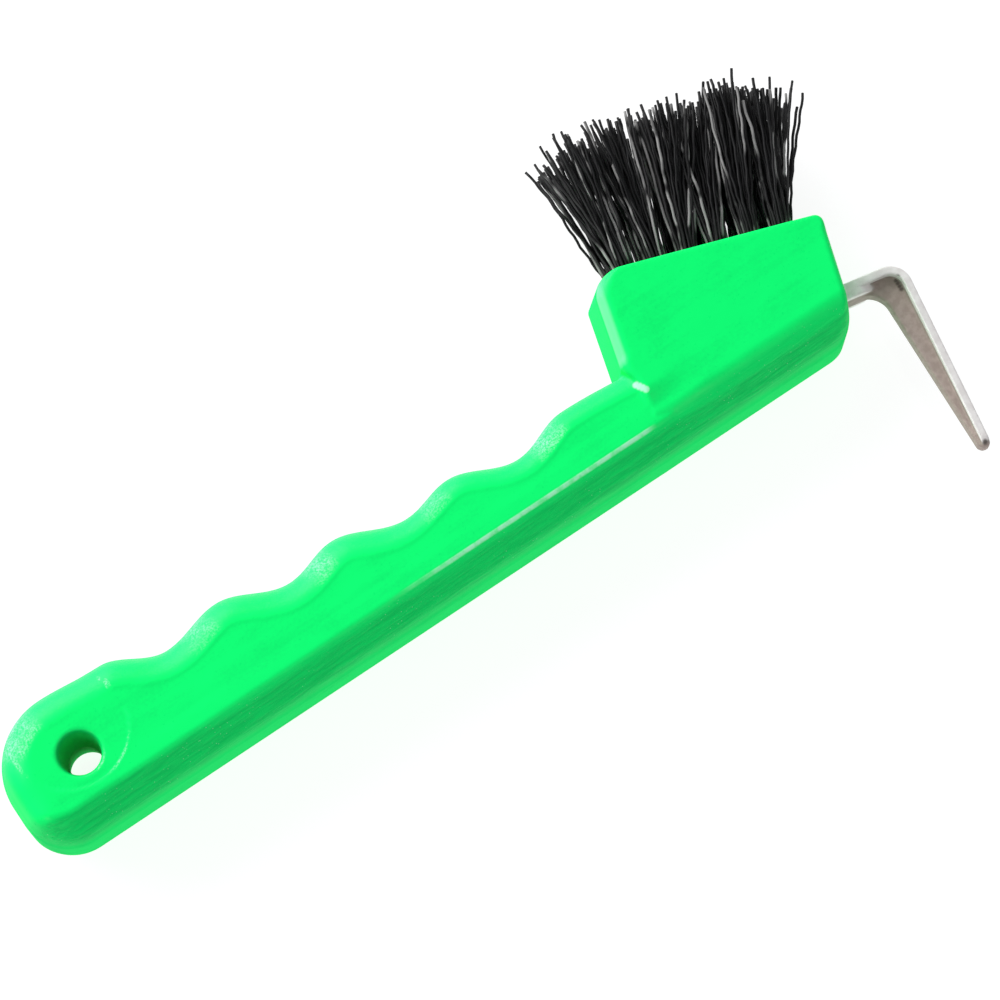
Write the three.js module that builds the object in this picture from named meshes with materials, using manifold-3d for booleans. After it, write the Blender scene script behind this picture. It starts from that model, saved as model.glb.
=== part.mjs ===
// A hoof pick with a brush, lying on its side. Millimetres, +Z up.
//
// While it is being drawn, x runs along the straight spine from the rounded handle end to the hook,
// y runs from the spine to the bristles, and z = 0 is the middle of the handle's thickness.
// The last lines move the finished tool so that it lies on z = 0, centred on x = y = 0.

import * as THREE from 'three';
import { mergeVertices } from 'three/addons/utils/BufferGeometryUtils.js';
import Module from 'manifold-3d';

// ---------- driving dimensions ----------

const CLEARANCE = 0.3; // left between pieces that touch
const CUTTER_OVERRUN = 1; // cutting solids stand this far out of what they cut
const EDGE_STEPS = 4; // facets across a rounded edge

// The grip: a straight spine on one side and four finger grooves on the other.
const GRIP_HALF_THICKNESS = 10;
const GRIP_TAIL_X = 137; // the grip runs this far, inside the head
const SPINE_FLAT_HALF = 5.2; // half width of the flat along the spine
const SPINE_BEVEL = 5.3; // width of the bevel beside that flat
const FINGER_SIDE_ROUNDING = 4.5;
const HANDLE_END_X = 0.4;
const END_LOWER_RADIUS = 8.8; // handle end, towards the spine
const END_UPPER_RADIUS = 13.4; // handle end, towards the fingers
const END_TOP_Y = 25.75;

// Crests and bottoms of the finger grooves in turn, from the handle end to the head.
const FINGER_WAVE = [
  [25.6, 25.0], [36.9, 20.7], [48.2, 22.95], [61, 18.8], [70.9, 20.95],
  [84.2, 16.7], [93.5, 18.5], [106, 14.6], [117, 17.45],
].map(([x, y]) => new THREE.Vector2(x, y));
const STEPS_PER_SLOPE = 5; // from a crest to the next bottom
const GRIP_TAIL_Y = 16.3;
const GRIP_TAIL_RISE = 3; // the hidden tail of the spine rises this much inside the head
const GRIP_TAIL_RISE_START = 2; // from the head's foot to where that rise starts

// The hang hole narrows from both faces to a neck in the middle and has rounded rims.
const HANG_HOLE = {
  x: 14.8, y: 12.95, neckRadius: 2.95, rimStartRadius: 3.75, rimRounding: 0.8, rimSteps: 3, sides: 24,
};

// The head is the brush block. Its brush face slopes down towards the hook.
const HEAD_HALF_THICKNESS = 11;
const HEAD_TILT = THREE.MathUtils.degToRad(18.7);
const HEAD_BACK_CORNER = new THREE.Vector2(134.5, 34.4); // before rounding
const HEAD_LENGTH = 42.7; // along the brush face
const HEAD_FOOT_X = 127.3; // where the head starts on the spine
const HEAD_BACK_BASE = new THREE.Vector2(129.4, 17); // where the back of the head leaves the grip
const HEAD_SHOULDER = [[130.2, 13.5], [129.5, 9.5], [128, 5]]; // from that base down to the foot
const HEAD_BACK_CORNER_RADIUS = 3.8;
const HEAD_FRONT_CORNER_RADIUS = 1.6;
const HEAD_NOSE_RADIUS = 6; // between the spine and the front
const HEAD_SPINE_BEVEL = 5.4;
const HEAD_SPINE_SKIM = 0.05; // the bevel cut starts this far off the spine's flat
const HEAD_BACK_ROUNDING = 3.2;
const HEAD_STEP_ROUNDING = 1.2;
const HEAD_FRONT_ROUNDING = 1.1;
const BRUSH_FACE_ROUNDING = 0.6;

// The bristle tufts are folded over flat wire anchors at the bottom of blind holes.
const TUFT_COLUMNS = 6;
const TUFT_ROWS = 3;
const TUFT_PITCH = 5.75;
const TUFT_ROW_PITCH = 6.2;
const TUFT_HOLE_RADIUS = 2.2;
const TUFT_HOLE_DEPTH = 9;
const TUFT_HOLE_SIDES = 16;
const TUFT_RADIUS = TUFT_HOLE_RADIUS - CLEARANCE;
const TUFT_FREE_LENGTH = 26;
const TUFT_LEAN_BACK = THREE.MathUtils.degToRad(15.5); // lean of the tufts nearest the handle
const TUFT_LEAN_FRONT = THREE.MathUtils.degToRad(9); // lean of the tufts nearest the hook
const TUFT_TIP_RADIUS = 3.7; // along the brush face
const TUFT_TIP_RADIUS_ACROSS = 3.45;
const TUFT_TIP_ROW_PITCH = 7.25;
const TUFT_SIDES = 12;
const ANCHOR = { thickness: 0.5, height: 1.4, length: 3.4, depth: 6.9 };

// The hook is one steel casting: a bar into the head and a blade with a flange along its outside.
const HOOK_CORNER = new THREE.Vector2(183.65, 7.25); // outer corner of the bend, before rounding
const HOOK_TILT = THREE.MathUtils.degToRad(10.2);
const HOOK_BAR_LENGTH = 35; // from the outer corner to the end inside the head
const HOOK_BAR_HEIGHT = 2.9;
const HOOK_BAR_FRONT = 7.2; // the solid bar ends this far behind the corner
const HOOK_WIDTH = 7.4;
const HOOK_TIP_WIDTH = 5;
const HOOK_BEND_RADIUS = 4;
const HOOK_TIP_CORNER_RADIUS = 2;
const BLADE_LENGTH = 37;
const FLANGE_THICKNESS = 1.5;
const FLANGE_TIP_RADIUS = 0.65;
const FLANGE_OVERLAP = 2; // the flange's arm runs this far into the bar
const WEB_THICKNESS = 2.8;
const WEB_DEPTH_AT_BEND = 5.6; // from the outer face to the web's free edge
const WEB_DEPTH_AT_TIP = 2;
const WEB_FILLET_RADIUS = 4.2;
const WEB_TIP_RADIUS = 0.7;
const WEB_TIP_GAP = 0.3; // the web stops this far above the flange's tip
const WEB_OVERLAP = 4; // the web's arm runs this far into the bar
const WEB_EMBED = 0.5; // the web's hidden edge lies this far inside the flange's outer face
const BAR_NOTCHES = [24, 30]; // distances behind the corner of the notches that key the bar
const BAR_NOTCH_RADIUS = 1.3;

// Colours, roughness and metalness of the materials.
const GREEN_PLASTIC = { color: 0x0df978, roughness: 0.35, metalness: 0 };
const PLATED_STEEL = { color: 0xc9c4bb, roughness: 0.35, metalness: 1 };
const BLACK_BRISTLE = { color: 0x1c1c1e, roughness: 0.6, metalness: 0 };
const ANCHOR_WIRE = { color: 0xb9bcc0, roughness: 0.4, metalness: 1 };

// ---------- solids and helpers ----------

const wasm = await Module();
wasm.setup();

function solidFrom(geometry) {
  const bare = geometry.clone();
  for (const name of Object.keys(bare.attributes)) {
    if (name !== 'position') bare.deleteAttribute(name);
  }
  const mergeDistance = 1e-4;
  const merged = mergeVertices(bare, mergeDistance);
  const mesh = new wasm.Mesh({
    numProp: 3,
    vertProperties: new Float32Array(merged.attributes.position.array),
    triVerts: new Uint32Array(merged.index.array),
  });
  return new wasm.Manifold(mesh);
}

function geometryFrom(solid) {
  const { vertProperties, triVerts } = solid.getMesh();
  const geometry = new THREE.BufferGeometry();
  geometry.setAttribute('position', new THREE.BufferAttribute(vertProperties, 3));
  geometry.setIndex(new THREE.BufferAttribute(triVerts, 1));
  geometry.computeVertexNormals();
  return geometry;
}

function named(name, geometry, look) {
  const mesh = new THREE.Mesh(geometry, new THREE.MeshStandardMaterial(look));
  mesh.name = name;
  return mesh;
}

// Joins equal closed rings of points into one closed surface, with a flat cap on each end.
function skin(rings) {
  const count = rings[0].length;
  const positions = rings.flat().flatMap((p) => [p.x, p.y, p.z]);
  const indices = [];
  for (let r = 0; r + 1 < rings.length; r++) {
    for (let i = 0; i < count; i++) {
      const a = r * count + i;
      const b = r * count + ((i + 1) % count);
      indices.push(a, b, b + count, a, b + count, a + count);
    }
  }
  const cap = (ring) => THREE.ShapeUtils.triangulateShape(ring.map((p) => new THREE.Vector2(p.u, p.v)), []);
  const top = (rings.length - 1) * count;
  for (const [a, b, c] of cap(rings[0])) indices.push(a, c, b);
  for (const [a, b, c] of cap(rings[rings.length - 1])) indices.push(top + a, top + b, top + c);
  const geometry = new THREE.BufferGeometry();
  geometry.setAttribute('position', new THREE.Float32BufferAttribute(positions, 3));
  geometry.setIndex(indices);
  return geometry;
}

// A slab with the given counter-clockwise outline, whose edges are worked as edgeAt says for each
// point: inset is how far the edge work reaches in, drop how far it reaches down, and round is 1
// for a quarter round and 0 for a flat bevel.
function edgedSlab(outline, halfThickness, edgeAt) {
  const points = outline.map((p, i) => {
    const before = outline[(i + outline.length - 1) % outline.length];
    const after = outline[(i + 1) % outline.length];
    const inward = edgeNormal(before, p).add(edgeNormal(p, after)).normalize();
    return { p, inward, edge: edgeAt(p, inward.clone().negate()) };
  });
  const level = (t, side) => points.map(({ p, inward, edge }) => {
    const angle = (t * Math.PI) / 2;
    const reach = edge.inset * THREE.MathUtils.lerp(t, 1 - Math.cos(angle), edge.round);
    const rise = THREE.MathUtils.lerp(t, Math.sin(angle), edge.round);
    const x = p.x + inward.x * reach;
    const y = p.y + inward.y * reach;
    return { x, y, z: side * (halfThickness - edge.drop * (1 - rise)), u: x, v: y };
  });
  const rings = [];
  for (let s = EDGE_STEPS; s >= 0; s--) rings.push(level(s / EDGE_STEPS, -1));
  for (let s = 0; s <= EDGE_STEPS; s++) rings.push(level(s / EDGE_STEPS, 1));
  return skin(rings);
}

function edgeNormal(a, b) {
  return new THREE.Vector2(a.y - b.y, b.x - a.x).normalize();
}

function mix(low, high, weight) {
  return {
    inset: THREE.MathUtils.lerp(low.inset, high.inset, weight),
    drop: THREE.MathUtils.lerp(low.drop, high.drop, weight),
    round: THREE.MathUtils.lerp(low.round, high.round, weight),
  };
}

function roundEdge(radius) {
  return { inset: radius, drop: radius, round: 1 };
}

// Points on an arc about (x, y), angles in degrees.
function arc(x, y, radius, from, to, steps) {
  const curve = new THREE.EllipseCurve(
    x, y, radius, radius,
    THREE.MathUtils.degToRad(from), THREE.MathUtils.degToRad(to), to < from,
  );
  return curve.getPoints(steps);
}

// Rounds the corner at b between a and c.
function roundedCorner(a, b, c, radius, steps) {
  const toA = a.clone().sub(b).normalize();
  const toC = c.clone().sub(b).normalize();
  const half = Math.acos(toA.dot(toC)) / 2;
  const centre = toA.clone().add(toC).normalize().multiplyScalar(radius / Math.sin(half)).add(b);
  const start = b.clone().addScaledVector(toA, radius / Math.tan(half)).sub(centre);
  const end = b.clone().addScaledVector(toC, radius / Math.tan(half)).sub(centre);
  const sweep = Math.atan2(start.x * end.y - start.y * end.x, start.dot(end));
  const points = [];
  for (let i = 0; i <= steps; i++) {
    points.push(start.clone().rotateAround(new THREE.Vector2(), (sweep * i) / steps).add(centre));
  }
  return points;
}

// ---------- handle ----------

function gripOutline() {
  const wave = [];
  for (let i = 0; i + 1 < FINGER_WAVE.length; i++) {
    for (let step = 0; step < STEPS_PER_SLOPE; step++) {
      const t = step / STEPS_PER_SLOPE;
      const ease = (1 - Math.cos(Math.PI * t)) / 2;
      const [from, to] = [FINGER_WAVE[i], FINGER_WAVE[i + 1]];
      wave.push(new THREE.Vector2(
        THREE.MathUtils.lerp(from.x, to.x, t), THREE.MathUtils.lerp(from.y, to.y, ease),
      ));
    }
  }
  wave.push(FINGER_WAVE[FINGER_WAVE.length - 1]);
  return [
    ...arc(HANDLE_END_X + END_LOWER_RADIUS, END_LOWER_RADIUS, END_LOWER_RADIUS, 180, 270, 9),
    new THREE.Vector2(HEAD_FOOT_X + GRIP_TAIL_RISE_START, 0),
    new THREE.Vector2(GRIP_TAIL_X, GRIP_TAIL_RISE),
    new THREE.Vector2(GRIP_TAIL_X, GRIP_TAIL_Y),
    ...wave.reverse(),
    ...arc(
      HANDLE_END_X + END_UPPER_RADIUS, END_TOP_Y - END_UPPER_RADIUS, END_UPPER_RADIUS, 86, 180, 10,
    ),
  ];
}

// Round on the finger side, bevelled along the spine, and blended round the handle's end.
function gripEdge(point, outward) {
  const spine = { inset: SPINE_BEVEL, drop: GRIP_HALF_THICKNESS - SPINE_FLAT_HALF, round: 0 };
  const facingSpine = THREE.MathUtils.smoothstep(-outward.y, 0.2, 0.95);
  return mix(roundEdge(FINGER_SIDE_ROUNDING), spine, facingSpine);
}

function headOutline() {
  const along = new THREE.Vector2(Math.cos(HEAD_TILT), -Math.sin(HEAD_TILT));
  const down = new THREE.Vector2(-Math.sin(HEAD_TILT), -Math.cos(HEAD_TILT));
  const back = HEAD_BACK_CORNER;
  const front = back.clone().addScaledVector(along, HEAD_LENGTH);
  const nose = front.clone().addScaledVector(down, front.y / -down.y);
  const foot = new THREE.Vector2(HEAD_FOOT_X, 0);
  const shoulder = new THREE.SplineCurve([
    HEAD_BACK_BASE,
    ...HEAD_SHOULDER.map(([x, y]) => new THREE.Vector2(x, y)),
    foot,
  ]);
  return [
    ...roundedCorner(foot, nose, front, HEAD_NOSE_RADIUS, 8),
    ...roundedCorner(nose, front, back, HEAD_FRONT_CORNER_RADIUS, 5),
    ...roundedCorner(front, back, HEAD_BACK_BASE, HEAD_BACK_CORNER_RADIUS, 6),
    ...shoulder.getPoints(10),
  ];
}

// The back of the head is well rounded above the grip, and its other edges are only broken.
function headEdge(point, outward) {
  const lift = THREE.MathUtils.smoothstep(point.y, HEAD_BACK_BASE.y - 2, HEAD_BACK_BASE.y + 2);
  const backRounding = THREE.MathUtils.lerp(HEAD_STEP_ROUNDING, HEAD_BACK_ROUNDING, lift);
  const facingBack = THREE.MathUtils.smoothstep(-outward.x, 0, 0.6);
  const facingAcross = THREE.MathUtils.smoothstep(Math.abs(outward.y), 0.4, 0.9);
  const ends = mix(roundEdge(HEAD_FRONT_ROUNDING), roundEdge(backRounding), facingBack);
  return mix(ends, roundEdge(BRUSH_FACE_ROUNDING), facingAcross);
}

// The head before bevelling, cut to the bevels that run straight along its spine.
function headSolid() {
  const slab = solidFrom(edgedSlab(headOutline(), HEAD_HALF_THICKNESS, headEdge));
  const flat = HEAD_HALF_THICKNESS - HEAD_SPINE_BEVEL;
  const bevelEnd = HEAD_SPINE_BEVEL + CUTTER_OVERRUN;
  const side = HEAD_HALF_THICKNESS + CUTTER_OVERRUN;
  const far = 2 * HEAD_LENGTH;
  const section = new THREE.Shape([
    new THREE.Vector2(0, -flat),
    new THREE.Vector2(bevelEnd, -side),
    new THREE.Vector2(far, -side),
    new THREE.Vector2(far, side),
    new THREE.Vector2(bevelEnd, side),
    new THREE.Vector2(0, flat),
  ]);
  const prism = new THREE.ExtrudeGeometry(section, { depth: far, bevelEnabled: false, steps: 1 });
  // the section's x and y become the tool's y and z, and the depth runs along its x
  const axes = new THREE.Matrix4().makeBasis(
    new THREE.Vector3(0, 1, 0), new THREE.Vector3(0, 0, 1), new THREE.Vector3(1, 0, 0),
  );
  prism.applyMatrix4(axes);
  prism.translate(HEAD_FOOT_X - HEAD_LENGTH / 2, -HEAD_SPINE_SKIM, 0);
  return slab.intersect(solidFrom(prism));
}

function hangHole() {
  const { x, y, neckRadius, rimStartRadius, rimRounding, rimSteps, sides } = HANG_HOLE;
  const top = GRIP_HALF_THICKNESS + CUTTER_OVERRUN;
  const upper = [new THREE.Vector2(neckRadius, 0)];
  for (let i = 0; i <= rimSteps; i++) {
    const angle = (i / rimSteps) * (Math.PI / 2);
    upper.push(new THREE.Vector2(
      rimStartRadius + rimRounding * (1 - Math.cos(angle)),
      GRIP_HALF_THICKNESS - rimRounding * (1 - Math.sin(angle)),
    ));
  }
  upper.push(new THREE.Vector2(rimStartRadius + rimRounding, top));
  upper.push(new THREE.Vector2(0, top));
  const lower = upper.slice(1).map((p) => new THREE.Vector2(p.x, -p.y)).reverse();
  const geometry = new THREE.LatheGeometry([...lower, ...upper], sides);
  geometry.rotateX(Math.PI / 2);
  geometry.translate(x, y, 0);
  return solidFrom(geometry);
}

// ---------- brush ----------

// Places a geometry made around the middle of the brush face, x along it and y out of it.
const brushFrame = new THREE.Matrix4().makeRotationZ(-HEAD_TILT).setPosition(
  HEAD_BACK_CORNER.x + (HEAD_LENGTH / 2) * Math.cos(HEAD_TILT),
  HEAD_BACK_CORNER.y - (HEAD_LENGTH / 2) * Math.sin(HEAD_TILT),
  0,
);

function tuftSpots() {
  const spots = [];
  for (let row = 0; row < TUFT_ROWS; row++) {
    for (let column = 0; column < TUFT_COLUMNS; column++) {
      spots.push({
        label: `${row + 1}_${column + 1}`,
        across: row - (TUFT_ROWS - 1) / 2,
        along: column - (TUFT_COLUMNS - 1) / 2,
      });
    }
  }
  return spots;
}

function tuftHole(spot) {
  const length = TUFT_HOLE_DEPTH + CUTTER_OVERRUN;
  const hole = new THREE.CylinderGeometry(TUFT_HOLE_RADIUS, TUFT_HOLE_RADIUS, length, TUFT_HOLE_SIDES);
  hole.translate(spot.along * TUFT_PITCH, CUTTER_OVERRUN - length / 2, spot.across * TUFT_ROW_PITCH);
  hole.applyMatrix4(brushFrame);
  return solidFrom(hole);
}

function anchorBox(spot, thickness, height, length) {
  const box = new THREE.BoxGeometry(thickness, height, length);
  box.translate(spot.along * TUFT_PITCH, -ANCHOR.depth, spot.across * TUFT_ROW_PITCH);
  box.applyMatrix4(brushFrame);
  return box;
}

function tuftAnchor(spot) {
  return anchorBox(spot, ANCHOR.thickness, ANCHOR.height, ANCHOR.length);
}

// The room that an anchor takes, right across its tuft.
function anchorSlot(spot) {
  const room = 2 * CLEARANCE;
  const length = 2 * (TUFT_RADIUS + CUTTER_OVERRUN);
  return solidFrom(anchorBox(spot, ANCHOR.thickness + room, ANCHOR.height + room, length));
}

// A straight root in its hole, then a free length that leans and widens towards the tips. share is
// how far up the free length a ring lies.
function tuft(spot) {
  const fromBack = 0.5 + spot.along / (TUFT_COLUMNS - 1);
  const lean = THREE.MathUtils.lerp(-TUFT_LEAN_BACK, TUFT_LEAN_FRONT, fromBack);
  const ring = (share, depth) => {
    const height = TUFT_FREE_LENGTH * share;
    const radius = THREE.MathUtils.lerp(TUFT_RADIUS, TUFT_TIP_RADIUS, share);
    const radiusAcross = THREE.MathUtils.lerp(TUFT_RADIUS, TUFT_TIP_RADIUS_ACROSS, share);
    const rowPitch = THREE.MathUtils.lerp(TUFT_ROW_PITCH, TUFT_TIP_ROW_PITCH, share);
    const points = [];
    for (let i = 0; i < TUFT_SIDES; i++) {
      const angle = (2 * Math.PI * i) / TUFT_SIDES;
      const u = radius * Math.cos(angle);
      const v = radiusAcross * Math.sin(angle);
      points.push({
        x: spot.along * TUFT_PITCH + height * Math.sin(lean) + u,
        y: height * Math.cos(lean) - depth - u * Math.sin(lean * share),
        z: spot.across * rowPitch - v,
        u,
        v,
      });
    }
    return points;
  };
  const body = skin([ring(0, TUFT_HOLE_DEPTH - CLEARANCE), ring(0, 0), ring(0.5, 0), ring(1, 0)]);
  body.applyMatrix4(brushFrame);
  return geometryFrom(solidFrom(body).subtract(anchorSlot(spot)));
}

// ---------- hook ----------

const hookFrame = new THREE.Matrix4()
  .makeRotationZ(-HOOK_TILT)
  .setPosition(HOOK_CORNER.x, HOOK_CORNER.y, 0);

function plate(points, width) {
  const geometry = new THREE.ExtrudeGeometry(new THREE.Shape(points), {
    depth: width, bevelEnabled: false, steps: 1,
  });
  geometry.translate(0, 0, -width / 2);
  return solidFrom(geometry);
}

function hookBar(grow) {
  const bar = new THREE.BoxGeometry(
    HOOK_BAR_LENGTH - HOOK_BAR_FRONT + grow, HOOK_BAR_HEIGHT + 2 * grow, HOOK_WIDTH + 2 * grow,
  );
  bar.translate(-(HOOK_BAR_LENGTH + HOOK_BAR_FRONT + grow) / 2, -HOOK_BAR_HEIGHT / 2, 0);
  let solid = solidFrom(bar);
  for (const behind of BAR_NOTCHES) {
    for (const side of [-1, 1]) {
      const notch = new THREE.CylinderGeometry(
        BAR_NOTCH_RADIUS - grow, BAR_NOTCH_RADIUS - grow, 2 * HOOK_BAR_HEIGHT, 12,
      );
      notch.translate(-behind, -HOOK_BAR_HEIGHT / 2, (side * HOOK_WIDTH) / 2);
      solid = solid.subtract(solidFrom(notch));
    }
  }
  return solid;
}

function bladeFlange() {
  const outer = new THREE.Vector2(0, 0);
  const arm = new THREE.Vector2(-HOOK_BAR_FRONT - FLANGE_OVERLAP, 0);
  const tip = new THREE.Vector2(0, -BLADE_LENGTH);
  const inner = new THREE.Vector2(-FLANGE_THICKNESS, -FLANGE_THICKNESS);
  const armInner = new THREE.Vector2(arm.x, -FLANGE_THICKNESS);
  const tipInner = new THREE.Vector2(-FLANGE_THICKNESS, -BLADE_LENGTH);
  const profile = [
    arm,
    armInner,
    ...roundedCorner(armInner, inner, tipInner, HOOK_BEND_RADIUS - FLANGE_THICKNESS, 5),
    ...roundedCorner(inner, tipInner, tip, FLANGE_TIP_RADIUS, 3),
    ...roundedCorner(tipInner, tip, outer, FLANGE_TIP_RADIUS, 3),
    ...roundedCorner(tip, outer, arm, HOOK_BEND_RADIUS, 8),
  ];
  return plate(profile, HOOK_WIDTH).intersect(bladeTaper());
}

// The blade seen from the front: it narrows to the tip and has a round end.
function bladeTaper() {
  const top = HOOK_BEND_RADIUS;
  const half = HOOK_WIDTH / 2;
  const clear = half + CUTTER_OVERRUN;
  const tipHalf = HOOK_TIP_WIDTH / 2;
  const rightTip = new THREE.Vector2(tipHalf, -BLADE_LENGTH);
  const leftTip = new THREE.Vector2(-tipHalf, -BLADE_LENGTH);
  const rightTop = new THREE.Vector2(half, -HOOK_BEND_RADIUS);
  const leftTop = new THREE.Vector2(-half, -HOOK_BEND_RADIUS);
  const front = new THREE.Shape([
    new THREE.Vector2(-clear, top),
    new THREE.Vector2(-clear, -HOOK_BEND_RADIUS),
    leftTop,
    ...roundedCorner(leftTop, leftTip, rightTip, HOOK_TIP_CORNER_RADIUS, 4),
    ...roundedCorner(leftTip, rightTip, rightTop, HOOK_TIP_CORNER_RADIUS, 4),
    rightTop,
    new THREE.Vector2(clear, -HOOK_BEND_RADIUS),
    new THREE.Vector2(clear, top),
  ]);
  const depth = 2 * HOOK_BAR_LENGTH;
  const geometry = new THREE.ExtrudeGeometry(front, { depth, bevelEnabled: false, steps: 1 });
  geometry.translate(0, 0, -depth / 2);
  geometry.rotateY(Math.PI / 2);
  return solidFrom(geometry);
}

function bladeWeb() {
  const tipY = WEB_TIP_GAP - BLADE_LENGTH;
  const arm = new THREE.Vector2(-HOOK_BAR_FRONT - WEB_OVERLAP, -HOOK_BAR_HEIGHT);
  const bend = new THREE.Vector2(-WEB_DEPTH_AT_BEND, -HOOK_BAR_HEIGHT);
  const tip = new THREE.Vector2(-WEB_DEPTH_AT_TIP, tipY);
  const tipOuter = new THREE.Vector2(-WEB_EMBED, tipY);
  return plate([
    arm,
    ...roundedCorner(arm, bend, tip, WEB_FILLET_RADIUS, 6),
    ...roundedCorner(bend, tip, tipOuter, WEB_TIP_RADIUS, 3),
    tipOuter,
    new THREE.Vector2(-WEB_EMBED, -HOOK_BEND_RADIUS),
    new THREE.Vector2(-HOOK_BEND_RADIUS, -WEB_EMBED),
    new THREE.Vector2(arm.x, -WEB_EMBED),
  ], WEB_THICKNESS);
}

// ---------- assembly ----------

const tool = new THREE.Group();

let handle = solidFrom(edgedSlab(gripOutline(), GRIP_HALF_THICKNESS, gripEdge))
  .add(headSolid())
  .subtract(hangHole());
const socket = geometryFrom(hookBar(CLEARANCE)).applyMatrix4(hookFrame);
handle = handle.subtract(solidFrom(socket));
for (const spot of tuftSpots()) handle = handle.subtract(tuftHole(spot));
tool.add(named('handle', geometryFrom(handle), GREEN_PLASTIC));

const hook = geometryFrom(hookBar(0).add(bladeFlange()).add(bladeWeb())).applyMatrix4(hookFrame);
tool.add(named('pick_hook', hook, PLATED_STEEL));

for (const spot of tuftSpots()) {
  tool.add(named(`bristle_tuft_${spot.label}`, tuft(spot), BLACK_BRISTLE));
  tool.add(named(`tuft_anchor_${spot.label}`, tuftAnchor(spot), ANCHOR_WIRE));
}

const box = new THREE.Box3().setFromObject(tool);
const centre = box.getCenter(new THREE.Vector3());
tool.position.set(-centre.x, -centre.y, -box.min.z);

const group = new THREE.Group();
group.add(tool);

export default group;
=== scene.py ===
"""Looks of a hoof pick with a brush that lies on its side on a pale floor.

The pieces are drawn in the tool's own frame, in millimetres: x runs along the straight spine from
the handle end to the hook, y from the spine to the bristles, and z = 0 is the middle of the
thickness. The handle and the hook are skins of rounded solids given by formulas, and the bristles
are filaments folded over their anchors.
"""

import math

import bpy
import numpy as np
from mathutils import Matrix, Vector


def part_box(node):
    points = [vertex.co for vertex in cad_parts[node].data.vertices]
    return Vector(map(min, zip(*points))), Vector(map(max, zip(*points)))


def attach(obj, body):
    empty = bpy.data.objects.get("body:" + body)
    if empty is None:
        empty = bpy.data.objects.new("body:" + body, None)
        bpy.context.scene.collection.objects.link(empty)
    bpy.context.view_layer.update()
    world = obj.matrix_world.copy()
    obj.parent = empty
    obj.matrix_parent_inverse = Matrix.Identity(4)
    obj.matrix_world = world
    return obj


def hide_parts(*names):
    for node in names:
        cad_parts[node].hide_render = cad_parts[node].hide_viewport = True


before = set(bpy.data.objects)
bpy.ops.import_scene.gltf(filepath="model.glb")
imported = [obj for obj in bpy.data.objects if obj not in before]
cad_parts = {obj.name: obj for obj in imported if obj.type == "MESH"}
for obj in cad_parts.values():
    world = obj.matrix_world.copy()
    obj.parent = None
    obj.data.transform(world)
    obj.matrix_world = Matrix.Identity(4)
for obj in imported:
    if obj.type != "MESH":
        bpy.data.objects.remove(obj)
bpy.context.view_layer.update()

MM = 0.001

# ---------- driving dimensions, in millimetres ----------

# The grip: a straight spine on one side and four finger grooves on the other.
GRIP_HALF_THICKNESS = 10
GRIP_TAIL_X = 137
GRIP_TAIL_Y = 16.3
GRIP_TAIL_RISE = 3
HANDLE_END_X = 0.4
END_LOWER_RADIUS = 8.8
END_UPPER_RADIUS = 13.4
END_TOP_Y = 25.75
FINGER_WAVE = [
    (25.6, 25.0), (36.9, 20.7), (48.2, 22.95), (61, 18.8), (70.9, 20.95),
    (84.2, 16.7), (93.5, 18.5), (106, 14.6), (117, 17.45),
]
WAVE_STEPS = 16  # from a crest to the next bottom
FINGER_ROUNDING = 6.0  # near the hang hole
FINGER_ROUNDING_NEAR_HEAD = 4.7
FINGER_ROUNDING_CHANGE_X = (74, 88)
ROUNDING_CHANGE_Y = (2, 9)  # from the spine's rounding to the fingers'
SPINE_ROUNDING = 4.0
SPINE_FLAT_HALF = 5.2
SPINE_BEVEL = 5.0
BEVEL_EDGE_RADIUS = 0.55  # between the bevel and the side
SPINE_EDGE_RADIUS = 1.5  # between the bevel and the spine's flat
EDGE_CHANGE_Z = (6.5, 8.5)  # from the one edge's radius to the other's
BEVEL_RUN_OUT = 1.3  # how far the bevel fades back where it turns up round the end
BEVEL_RUN_OUT_DEPTH = (-0.5, 5)
SIDE_DIP = 0.07  # the sides dip a little just inside the finger rounding
SIDE_DIP_START = (-0.5, 0.4)
SIDE_DIP_END = (0.4, 5.5)
SIDE_DIP_X = (18, 28)
SIDE_DIP_Y = (7.5, 9.5)

# The hang hole and the shallow round land beside it.
HOLE_CENTRE = (14.8, 12.95)
HOLE_NECK_RADIUS = 2.95
HOLE_RIM_START_RADIUS = 3.75
HOLE_RIM_ROUNDING = 0.8
LAND_CENTRE = (15.3, 17.4)
LAND_RADIUS = 10.5
LAND_DEPTH = 0.14
LAND_EDGE = (-0.5, 0.3)

# The head is the brush block.
HEAD_HALF_THICKNESS = 11
HEAD_TILT = math.radians(18.7)
HEAD_BACK_CORNER = np.array((134.5, 34.4))
HEAD_LENGTH = 42.7
HEAD_FOOT_X = 127.3
HEAD_BACK_BASE = np.array((129.4, 17))
HEAD_SHOULDER = [(130.2, 13.5), (129.5, 9.5), (128, 5)]
BACK_CORNER_SEED_RADIUS = 1.0
BACK_CORNER_RADII = (1.7, 5.0)  # at the lower and the upper end of the head's back
BACK_CORNER_HEIGHTS = (-8, 8.3)
BACK_CORNER_LIMITS = (-0.1, 1.1)  # how far past those heights the radius still changes
HEAD_FRONT_CORNER_RADIUS = 1.6
HEAD_NOSE_RADIUS = 6
HEAD_SPINE_BEVEL = 5.2
HEAD_BEVEL_EDGE_RADIUS = 1.6
HEAD_BACK_ROUNDING = 2.6
HEAD_STEP_ROUNDING = 1.2
HEAD_FRONT_ROUNDING = 1.1
BRUSH_FACE_ROUNDING = 0.6
BRUSH_FACE_DEPTH = (-4, -0.8)  # the brush face's rounding begins along here
BRUSH_FACE_U = (-20, -15)
BACK_U = (-18, -13)  # the head's back ends along here
HEAD_FILLET = 0.9  # where the grip runs into the head
HEAD_FILLET_Y = (7, 12)
SMALL_FILLET = 0.1
SHOULDER_STEP = 0.04
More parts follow.
